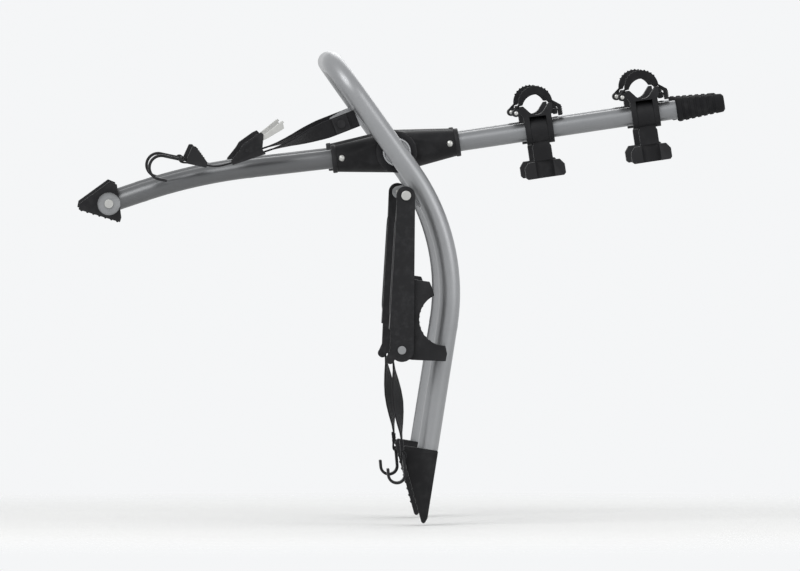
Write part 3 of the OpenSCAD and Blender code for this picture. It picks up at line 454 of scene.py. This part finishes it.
def rounded(node, material, edge=0.0006):
    """Gives a solid its finish, and breaks its sharp edges by that radius."""
    joined_within, flat_below, sharp_above = 0.000003, math.radians(0.5), math.radians(34)
    piece = finished(node, material)
    weld = piece.modifiers.new("joined", "WELD")
    weld.merge_threshold = joined_within
    flat = piece.modifiers.new("flat_faces", "DECIMATE")
    flat.decimate_type, flat.angle_limit = "DISSOLVE", flat_below
    bevel = piece.modifiers.new("broken_edge", "BEVEL")
    bevel.width, bevel.segments = edge, 2
    bevel.limit_method, bevel.angle_limit = "ANGLE", sharp_above
    shade = piece.modifiers.new("even_shade", "WEIGHTED_NORMAL")
    shade.weight = 80


def edge_mask(place, low=0.515, high=0.6):
    """1 on the outer edges of a piece, where handling rubs it, and 0 elsewhere."""
    return place.node("ShaderNodeNewGeometry", {}, {}, "Pointiness").above(low, high)


def powder_coat(name, deep, bright):
    """Silver powder coat: fine flake, a faint orange peel, and light rubs that are duller."""
    material, place = blank(name, Metallic=0.62, IOR=1.5, Coat_Weight=0.12, Coat_Roughness=0.25)
    flake = place.noise(4200, detail=1).above(0.35, 0.7)
    cloud = place.noise(16, detail=3)
    scratches = place.stretched(1, 1, 0.25).noise(240, detail=5, rough=0.7).above(0.6, 0.74)
    rubs = scratches * place.noise(30, detail=2).above(0.45, 0.62)
    tone = flake * 0.5 + cloud * 0.35 + rubs * 0.25
    peel = place.noise(620, detail=2) * 0.7 + flake * 0.3
    return coat(
        material, Base_Color=tone.mix(deep, bright),
        Roughness=0.33 + cloud * 0.1 + rubs * 0.16, Normal=peel.bump(0.00006, strength=0.5))


def bead(name, line, radius, material, closed=False):
    """A weld bead along a line of points: round, with the ripple that each drop leaves."""
    mesh = bmesh.new()
    rings, facets, walked = [], 8, 0.0
    turns = [k * math.tau / facets for k in range(facets)]
    centre = sum(line, Vector()) / len(line)
    for i, place in enumerate(line):
        ahead = line[(i + 1) % len(line)] if closed else line[min(i + 1, len(line) - 1)]
        behind = line[i - 1] if closed or i else line[0]
        along = (ahead - behind).normalized()
        one = along.cross(place - centre if closed else across).normalized()
        other = along.cross(one)
        walked += (place - line[i - 1]).length if i else 0.0
        ripple = math.sin(walked * math.tau / ripple_pitch)
        swell = radius * (1 - ripple_share + ripple_share * ripple)
        if not closed and i in (0, len(line) - 1):
            swell *= bead_tip
        rings.append([
            mesh.verts.new(place + (one * math.cos(a) + other * math.sin(a)) * swell)
            for a in turns])
    skin(mesh, rings, closed)
    return link_mesh(name, mesh, material)


hoop_silver = powder_coat("hoop_silver", (0.245, 0.25, 0.258), (0.375, 0.38, 0.388))
finished("hoop", hoop_silver)
for side, s in SIDES.items():
    boss_seam = []
    for k in range(boss_points):
        turn = k * math.tau / boss_points
        aside, rise = BOSS_R * math.cos(turn), BOSS_R * math.sin(turn)
        deep = math.sqrt(max(HOOP_R ** 2 - aside ** 2, 0))
        boss_seam.append(
            HUB + across * (s * (LEG_Y - deep)) - tube_front * aside + tube_up * rise)
    weld = bead(f"boss_weld_{side}", boss_seam, boss_bead, hoop_silver, closed=True)
    fixed(weld, "frame")
    shares = [k / seam_points for k in range(seam_points + 1)]
    for i, face in enumerate(tab_faces):
        foot = HUB + across * (s * (LEG_Y + face))
        foot += tube_front * math.sqrt(HOOP_R ** 2 - face ** 2)
        line = [foot + tube_up * (tab_start + (tab_end - tab_start) * share) for share in shares]
        weld = bead(f"tab_weld_{i}_{side}", line, tab_bead, hoop_silver)
        fixed(weld, "frame")
    for i, way in enumerate((-1, 1)):
        foot = HUB + sweep_middle + across * (s * LEG_Y + way * lug_half)
        turns = [lug_start + (lug_end - lug_start) * share for share in shares]
        line = [foot + Vector((math.cos(a), 0, math.sin(a))) * sweep_in for a in turns]
        weld = bead(f"lug_weld_{i}_{side}", line, lug_bead, hoop_silver)
        fixed(weld, "frame")

# The lower feet: solid rubber wedges, moulded with a plug that is pushed into the end of the tube.
# They are matt black, a little grey with dust, and their resting face has bars moulded across it.
tube_end, lower_lean = (44.25, -427.4), math.radians(9)
tread_top, tread_toe, tread_pitch, tread_inset = (-37, -6), (8, -106), 10, 4
tread_w, tread_h = 0.0017, 0.0014
foot_half, foot_toe_half, foot_taper_from = 22, 17, -53


def turned(x, z, angle):
    """A pair of X and Z, turned about the axis across the rack."""
    return x * math.cos(angle) + z * math.sin(angle), z * math.cos(angle) - x * math.sin(angle)


def level(x, z):
    """A direction in the side view."""
    return Vector((x, 0, z)).normalized()


def moulded_rubber(name, deep, dusty):
    """Matt rubber: a fine pitted skin, bloom in clouds, and pale rubs on its edges."""
    material, place = blank(name, IOR=1.45, Specular_IOR_Level=0.14)
    bloom = place.noise(55, detail=4).above(0.42, 0.75)
    tone = bloom * 0.55 + edge_mask(place) * 0.5
    pits = place.noise(1500, detail=2) * 0.6 + place.noise(330, detail=3) * 0.4
    return coat(
        material, Base_Color=tone.mix(deep, dusty), Roughness=0.72 + bloom * 0.16,
        Normal=pits.bump(0.00016, strength=0.6))


def bars(name, feet, half_width, height, material):
    """Moulded bars with rounded ends.

    Each has its middle, the way out, the way across it and half its length.
    """
    section = ((-1, -0.3), (-0.75, 0.7), (0, 1), (0.75, 0.7), (1, -0.3), (0, -0.5))
    rises = ((-1, 0.35), (-0.93, 0.85), (-0.8, 1), (0.8, 1), (0.93, 0.85), (1, 0.35))
    mesh = bmesh.new()
    for foot, out, aside, half in feet:
        rings = []
        for share, rise in rises:
            middle = foot + out.cross(aside) * (share * half)
            rings.append([
                mesh.verts.new(middle + aside * (x * half_width) + out * (z * height * rise))
                for x, z in section])
        skin(mesh, rings)
    return link_mesh(name, mesh, material)


foot_rubber = moulded_rubber("foot_rubber", (0.011, 0.011, 0.012), (0.034, 0.034, 0.035))
face_along = (tread_toe[0] - tread_top[0], tread_toe[1] - tread_top[1])
face_len = math.hypot(*face_along)
for side, s in SIDES.items():
    rounded(f"lower_foot_{side}", foot_rubber, edge=0.0022)
    along = level(*turned(*face_along, lower_lean))
    out = across.cross(along)
    feet = []
    for k in range(1, int(face_len / tread_pitch)):
        share = k * tread_pitch / face_len
        x, z = (a + b * share for a, b in zip(tread_top, face_along))
        taper = max(0, (foot_taper_from - z) / (foot_taper_from - tread_toe[1]))
        half = foot_half - (foot_half - foot_toe_half) * taper - tread_inset
        x, z = turned(x, z, lower_lean)
        place = from_hub(tube_end[0] + x, tube_end[1] + z, s * LEG_Y)
        feet.append((place, out, along, half / 1000))
    tread = bars(f"lower_tread_{side}", feet, tread_w, tread_h, foot_rubber)
    fixed(tread, "frame")

# The hubs: a zinc plated bolt through each boss, friction washers between the hub halves, and a
# lobed nylon knob on the bolt's end. The halves are glass filled nylon, moulded with a fine grain,
# and a cover of the same nylon is snapped over the welded flange that they bear on.
ARM_Y, UPPER_LEG_Y, KNOB_END_Y, BEARING_Y = 0.134, 0.182, 0.085, 0.207
flange_cup = [
    (19.4, 6.05), (19.4, 7.2), (20, 7.6), (27.6, 7.6), (28.7, 7.2), (29.2, 6.3), (29.2, 1.4),
    (28.8, 1.0), (28.05, 1.0), (28.05, 6.05)]
knob_dome = [(2, 1.5), (6, 1.4), (9.4, 0.9), (10.6, 0.2), (10.8, -0.6)]


def moulded_plastic(name, deep, worn, grain=1700):
    """Black moulded nylon: fine spark grain, faint flow marks, and edges rubbed grey."""
    material, place = blank(name, IOR=1.5, Specular_IOR_Level=0.18)
    flow = place.stretched(1, 0.4, 1).noise(42, detail=4)
    scratches = place.stretched(1, 1, 0.3).noise(420, detail=4, rough=0.7).above(0.64, 0.78)
    scuff = scratches * place.noise(24, detail=2).above(0.48, 0.66)
    tone = flow.above(0.4, 0.8) * 0.3 + edge_mask(place) * 0.45 + scuff * 0.4
    return coat(
        material, Base_Color=tone.mix(deep, worn),
        Roughness=0.47 + flow * 0.14 + scuff * 0.12,
        Normal=place.noise(grain, detail=2, rough=0.6).bump(0.00012, strength=0.7))


def plated_steel(name, deep, bright, rough):
    """Plated steel: fine brushed lines, and clouds in the plating."""
    material, place = blank(name, Metallic=1.0)
    brushed = place.stretched(0.12, 1, 1).noise(900, detail=3, rough=0.6)
    cloud = place.noise(70, detail=4)
    return coat(
        material, Base_Color=(brushed * 0.4 + cloud * 0.6).mix(deep, bright),
        Roughness=rough + cloud * 0.16 + brushed * 0.08, Normal=brushed.bump(0.00003, strength=0.4))


def lathed(name, profile, place, axis, material, hollow=False, count=32):
    """A round head or a hollow ring about an axis, from (radius, height) in millimetres."""
    mesh = bmesh.new()
    along = axis.normalized()
    one = along.orthogonal().normalized()
    other = along.cross(one)
    turns = [k * math.tau / count for k in range(count)]
    rings = []
    for radius, height in profile:
        middle = place + along * (height / 1000)
        rings.append([
            mesh.verts.new(middle + (one * math.cos(a) + other * math.sin(a)) * (radius / 1000))
            for a in turns])
    skin(mesh, rings, hollow)
    return link_mesh(name, mesh, material)


hub_nylon = moulded_plastic("hub_nylon", (0.008, 0.008, 0.009), (0.044, 0.044, 0.046))
knob_nylon = moulded_plastic("knob_nylon", (0.008, 0.008, 0.009), (0.046, 0.046, 0.048), grain=2100)
zinc = plated_steel("zinc_plate", (0.40, 0.40, 0.385), (0.58, 0.58, 0.56), rough=0.28)
dark_steel = plated_steel("dull_plate", (0.20, 0.205, 0.21), (0.36, 0.365, 0.37), rough=0.34)
rounded("hub_bolts", zinc, edge=0.0005)
rounded("friction_washers", dark_steel, edge=0.0003)
for side, s in SIDES.items():
    for half in ("arm_hub", "leg_hub"):
        rounded(f"{half}_{side}", hub_nylon, edge=0.0016)
    rounded(f"hub_knob_{side}", knob_nylon, edge=0.0018)
    knob_end, bearing = HUB + across * (s * KNOB_END_Y), HUB + across * (s * BEARING_Y)
    cap = lathed(f"knob_cap_{side}", knob_dome, knob_end, across * -s, zinc)
    fixed(cap, f"hub_knob_{side}")
    cover = lathed(
        f"flange_cover_{side}", flange_cup, bearing, across * s, hub_nylon,
        hollow=True, count=72)
    fixed(cover, "frame")

# The arms: straight 27 mm steel tubes, coated silver and riveted into their hub halves, each with a
# tapered rubber grip pushed over its end.
ARM_TILT = math.radians(8.5)
arm_along = Vector((math.cos(ARM_TILT), 0, math.sin(ARM_TILT)))
arm_up = Vector((-math.sin(ARM_TILT), 0, math.cos(ARM_TILT)))
rivet_at, rivet_out = 0.079, 0.0197
rivet_dome = [(0.8, 2.1), (2.2, 1.9), (3.8, 1.2), (4.7, 0.1), (4.8, -1.2)]
sleeve_rim = [(18, 86.5), (19.8, 86.8), (20.4, 87.6), (20.4, 92), (19.7, 93.3), (18, 93.3)]


def sleeve_details(name, body, start, along):
    """The moulded rim of a hub half's sleeve, and two rivet heads, one on each side of it."""
    rim = lathed(f"{name}_rim", sleeve_rim, start, along, hub_nylon, hollow=True)
    fixed(rim, body)
    for end, way in (("in", -1), ("out", 1)):
        place = start + along * rivet_at + across * (way * rivet_out)
        head = lathed(f"{name}_rivet_{end}", rivet_dome, place, across * way, zinc)
        fixed(head, body)


arm_silver = powder_coat("arm_silver", (0.185, 0.19, 0.197), (0.275, 0.28, 0.287))
grip_rubber = moulded_rubber("grip_rubber", (0.010, 0.010, 0.011), (0.030, 0.030, 0.031))
for side, s in SIDES.items():
    finished(f"arm_tube_{side}", arm_silver)
    rounded(f"arm_grip_{side}", grip_rubber, edge=0.0006)
    sleeve_details(f"arm_{side}", f"arm_{side}", HUB + across * (s * ARM_Y), arm_along)

# The upper legs: 27 mm steel tubes in the silver coat, made a darker grey as painted shade,
# straight at the hub and bent down to the foot. Each is riveted into its hub half, and a knuckle at
# its far end takes the foot's pin.
LEG_SLOPE = math.radians(6.5)
leg_along = Vector((-math.cos(LEG_SLOPE), 0, -math.sin(LEG_SLOPE)))
# This grey is the silver coat darkened as painted shade, for the shade that the legs stand in
leg_grey_painted_shade = powder_coat("leg_grey_painted_shade", (0.105, 0.108, 0.112), (0.175, 0.178, 0.182))
for side, s in SIDES.items():
    finished(f"leg_tube_{side}", leg_grey_painted_shade)
    sleeve_details(
        f"leg_{side}", f"upper_leg_{side}", HUB + across * (s * UPPER_LEG_Y), leg_along)

# The upper feet: a rubber shoe with a hooded toe on a pressed steel yoke, which swivels on a pin
# through the knuckle at the end of the leg. The sole has bars moulded across it.
foot_pin_at, sole_slope = (-414.074, -74.774), math.radians(17)
sole_drop, sole_start, sole_pitch = 20.5, -19, 9
sole_count, sole_half = 7, 0.018
for side, s in SIDES.items():
    rounded(f"foot_pin_{side}", zinc, edge=0.0006)
    rounded(f"foot_yoke_{side}", dark_steel, edge=0.0004)
    rounded(f"foot_pad_{side}", foot_rubber, edge=0.0018)
    along = level(-math.cos(sole_slope), math.sin(sole_slope))
    out = -level(math.sin(sole_slope), math.cos(sole_slope))
    middle = from_hub(*foot_pin_at, s * UPPER_LEG_Y) + out * (sole_drop / 1000)
    feet = [(middle + along * ((sole_start + k * sole_pitch) / 1000), out, along, sole_half)
            for k in range(sole_count)]
    sole = bars(f"sole_bars_{side}", feet, tread_w, tread_h, foot_rubber)
    fixed(sole, f"upper_foot_{side}")

# The cradles: a moulded saddle on the arm, a rubber strap that hinges over the bicycle's tube and
# snaps on the far nose, and a stabiliser that hangs from the arm between the saddle's two collars.
cradle_along = {"inner": 0.210, "outer": 0.365}
crown_rise, crown_r, rung_half, rung_size = 0.039267, 0.024533, 0.0105, 0.0012
rung_turns = range(36, 156, 12)
tab_face, tab_rungs = 0.036, (0.0195, 0.0225, 0.0255, 0.0285)
tie_pin_at, ear_out = (-0.030, 0.029), 0.020
pin_dome = [(0.6, 1.1), (1.6, 1.0), (2.6, 0.6), (3.1, 0), (3.1, -0.8)]
cradle_plastic = moulded_plastic("cradle_nylon", (0.007, 0.007, 0.008), (0.038, 0.038, 0.040))
tie_rubber = moulded_rubber("tie_rubber", (0.009, 0.009, 0.010), (0.028, 0.028, 0.029))
for side, s in SIDES.items():
    for place, along in cradle_along.items():
        rounded(f"saddle_{place}_{side}", cradle_plastic, edge=0.0009)
        rounded(f"tie_{place}_{side}", tie_rubber, edge=0.0008)
        rounded(f"stabiliser_{place}_{side}", cradle_plastic, edge=0.0014)
        middle = HUB + across * (s * ARM_Y) + arm_along * along
        feet = []
        for turn in map(math.radians, rung_turns):
            out = arm_along * math.cos(turn) + arm_up * math.sin(turn)
            on_crown = middle + arm_up * crown_rise + out * crown_r
            feet.append((on_crown, out, out.cross(across), rung_half))
        on_tab = middle + arm_along * tab_face
        feet += [(on_tab + arm_up * rise, arm_along, arm_up, rung_half) for rise in tab_rungs]
        ladder = bars(f"tie_rungs_{place}_{side}", feet, rung_size, rung_size, tie_rubber)
        fixed(ladder, f"tie_{place}_{side}")
        hinge = middle + arm_along * tie_pin_at[0] + arm_up * tie_pin_at[1]
        for end, way in (("in", -1), ("out", 1)):
            ear = hinge + across * (way * ear_out)
            head = lathed(f"tie_pin_{end}_{place}_{side}", pin_dome, ear, across * way, zinc)
            fixed(head, f"arm_{side}")

# The strap fittings: pressed steel buckles with a sprung zinc cam, moulded slides, and flat hooks
# dipped in black. The tensioners are black pressed channels with a toothed spool, the webbing wound
# on it, and a moulded pull handle.
buckle_at, buckle_slope = (-210, -6), math.radians(18.435)
lever_pin_at, lever_rise = (3, 10), math.radians(8)
thumb_from, thumb_to, thumb_ridges, thumb_pitch = (-35.75, 9.3), (-65, 15.3), 5, 0.003
ridge_half, ridge_size = 0.0095, 0.0008
slide_at, slide_slope = (-288, -15.643), math.radians(-12.095)
slide_low, slide_high, slide_ridges = (-15, 4), (6, 23), (0.3, 0.44, 0.58, 0.72, 0.86)
spool_at, finger_at, finger_r = (6, -284), (69, -240), 0.038
finger_turns, finger_half = range(150, 246, 12), 0.012
swage_top, swage_low = (-1, -76), (-12, -254)
swage_half, swage_w, swage_h = 0.068, 0.006, 0.0016
# One layer on another, as radius and distance from the middle in millimetres
wound_half = [
    (11.15, 11.9), (10.9, 12.7), (9.0, 12.75), (8.75, 12.55), (8.5, 12.75), (6.7, 12.75),
    (6.2, 12.6)]


def dipped_steel(name, deep, bright):
    """Black dip coating: smooth and slightly glossy, with soft lumps and rubbed edges."""
    material, place = blank(
        name, IOR=1.5, Specular_IOR_Level=0.15, Coat_Weight=0.12, Coat_Roughness=0.3)
    lumps = place.noise(140, detail=3)
    tone = lumps.above(0.4, 0.8) * 0.35 + edge_mask(place) * 0.55
    return coat(
        material, Base_Color=tone.mix(deep, bright), Roughness=0.36 + lumps * 0.14,
        Normal=lumps.bump(0.00012, strength=0.5))


def on_lever(x, z, y):
    """A place on a cam's thumb plate, in millimetres from its pin."""
    x, z = turned(x, z, lever_rise)
    x, z = turned(x + lever_pin_at[0], z + lever_pin_at[1], buckle_slope)
    return from_hub(buckle_at[0] - x, buckle_at[1] + z, y)


def on_slide(x, z, y):
    """A place on a strap slide, in millimetres from its middle."""
    x, z = turned(x, z, slide_slope)
    return from_hub(slide_at[0] - x, slide_at[1] + z, y)


def wound_webbing(name, middle):
    """Turns of webbing on a spool, with its weave around them."""
    mesh = bmesh.new()
    profile = [(r, -y) for r, y in reversed(wound_half)] + wound_half
    rings, places, count = [], {}, 48
    for k in range(count + 1):
        turn = k * math.tau / count
        out = Vector((math.cos(turn), 0, math.sin(turn)))
        rings.append([
            mesh.verts.new(middle + out * (r / 1000) + across * (y / 1000)) for r, y in profile])
        walked = turn * wound_half[0][0] / 1000
        places.update((point, (y / 1000, walked)) for point, (r, y) in zip(rings[-1], profile))
    skin(mesh, rings)
    webbing_uv(mesh, places)
    return link_mesh(name, mesh, webbing)


black_coat = dipped_steel("black_dip", (0.007, 0.007, 0.008), (0.034, 0.034, 0.036))
handle_plastic = moulded_plastic("handle_nylon", (0.007, 0.007, 0.008), (0.036, 0.036, 0.038))
rounded("strap_pins", zinc, edge=0.0008)
rounded("strap_rivets", black_coat, edge=0.0006)
for side, s in SIDES.items():
    rounded(f"cam_buckle_{side}", black_coat, edge=0.0005)
    rounded(f"cam_lever_{side}", zinc, edge=0.0008)
    rounded(f"strap_slide_{side}", handle_plastic, edge=0.0009)
    for hook in ("upper_hook", "lower_hook"):
        rounded(f"{hook}_{side}", black_coat, edge=0.0009)
    rounded(f"tensioner_{side}", black_coat, edge=0.0006)
    rounded(f"ratchet_spool_{side}", dark_steel, edge=0.0004)
    rounded(f"ratchet_handle_{side}", handle_plastic, edge=0.0014)
    thumb_start, thumb_end = on_lever(*thumb_from, s * LEG_Y), on_lever(*thumb_to, s * LEG_Y)
    along = (thumb_end - thumb_start).normalized()
    out = along.cross(across)
    feet = [(thumb_end - along * (thumb_pitch * (k + 1)), out, along, ridge_half)
            for k in range(thumb_ridges)]
    thumb = bars(f"thumb_ridges_{side}", feet, ridge_size, ridge_size, zinc)
    fixed(thumb, f"cam_lever_{side}")
    ramp_start, ramp_end = on_slide(*slide_low, s * LEG_Y), on_slide(*slide_high, s * LEG_Y)
    along = (ramp_end - ramp_start).normalized()
    out = across.cross(along)
    feet = [(ramp_start.lerp(ramp_end, share), out, along, finger_half) for share in slide_ridges]
    ramp = bars(f"slide_ridges_{side}", feet, ridge_size, ridge_size, handle_plastic)
    fixed(ramp, "frame")
    feet = []
    for turn in map(math.radians, finger_turns):
        away = Vector((math.cos(turn), 0, math.sin(turn)))
        place = from_hub(*finger_at, s * TENSION_Y) + away * finger_r
        feet.append((place, -away, away.cross(across), finger_half))
    grip = bars(f"finger_bars_{side}", feet, tread_w, ridge_size, handle_plastic)
    fixed(grip, f"ratchet_handle_{side}")
    plate_top = from_hub(*swage_top, s * TENSION_Y)
    plate_low = from_hub(*swage_low, s * TENSION_Y)
    out = across.cross((plate_low - plate_top).normalized())
    feet = [(plate_top.lerp(plate_low, 0.5), out, across, swage_half)]
    swage = bars(f"tensioner_swage_{side}", feet, swage_w, swage_h, black_coat)
    fixed(swage, f"tensioner_{side}")
    wound = wound_webbing(f"wound_webbing_{side}", from_hub(*spool_at, s * TENSION_Y))
    fixed(wound, f"ratchet_spool_{side}")
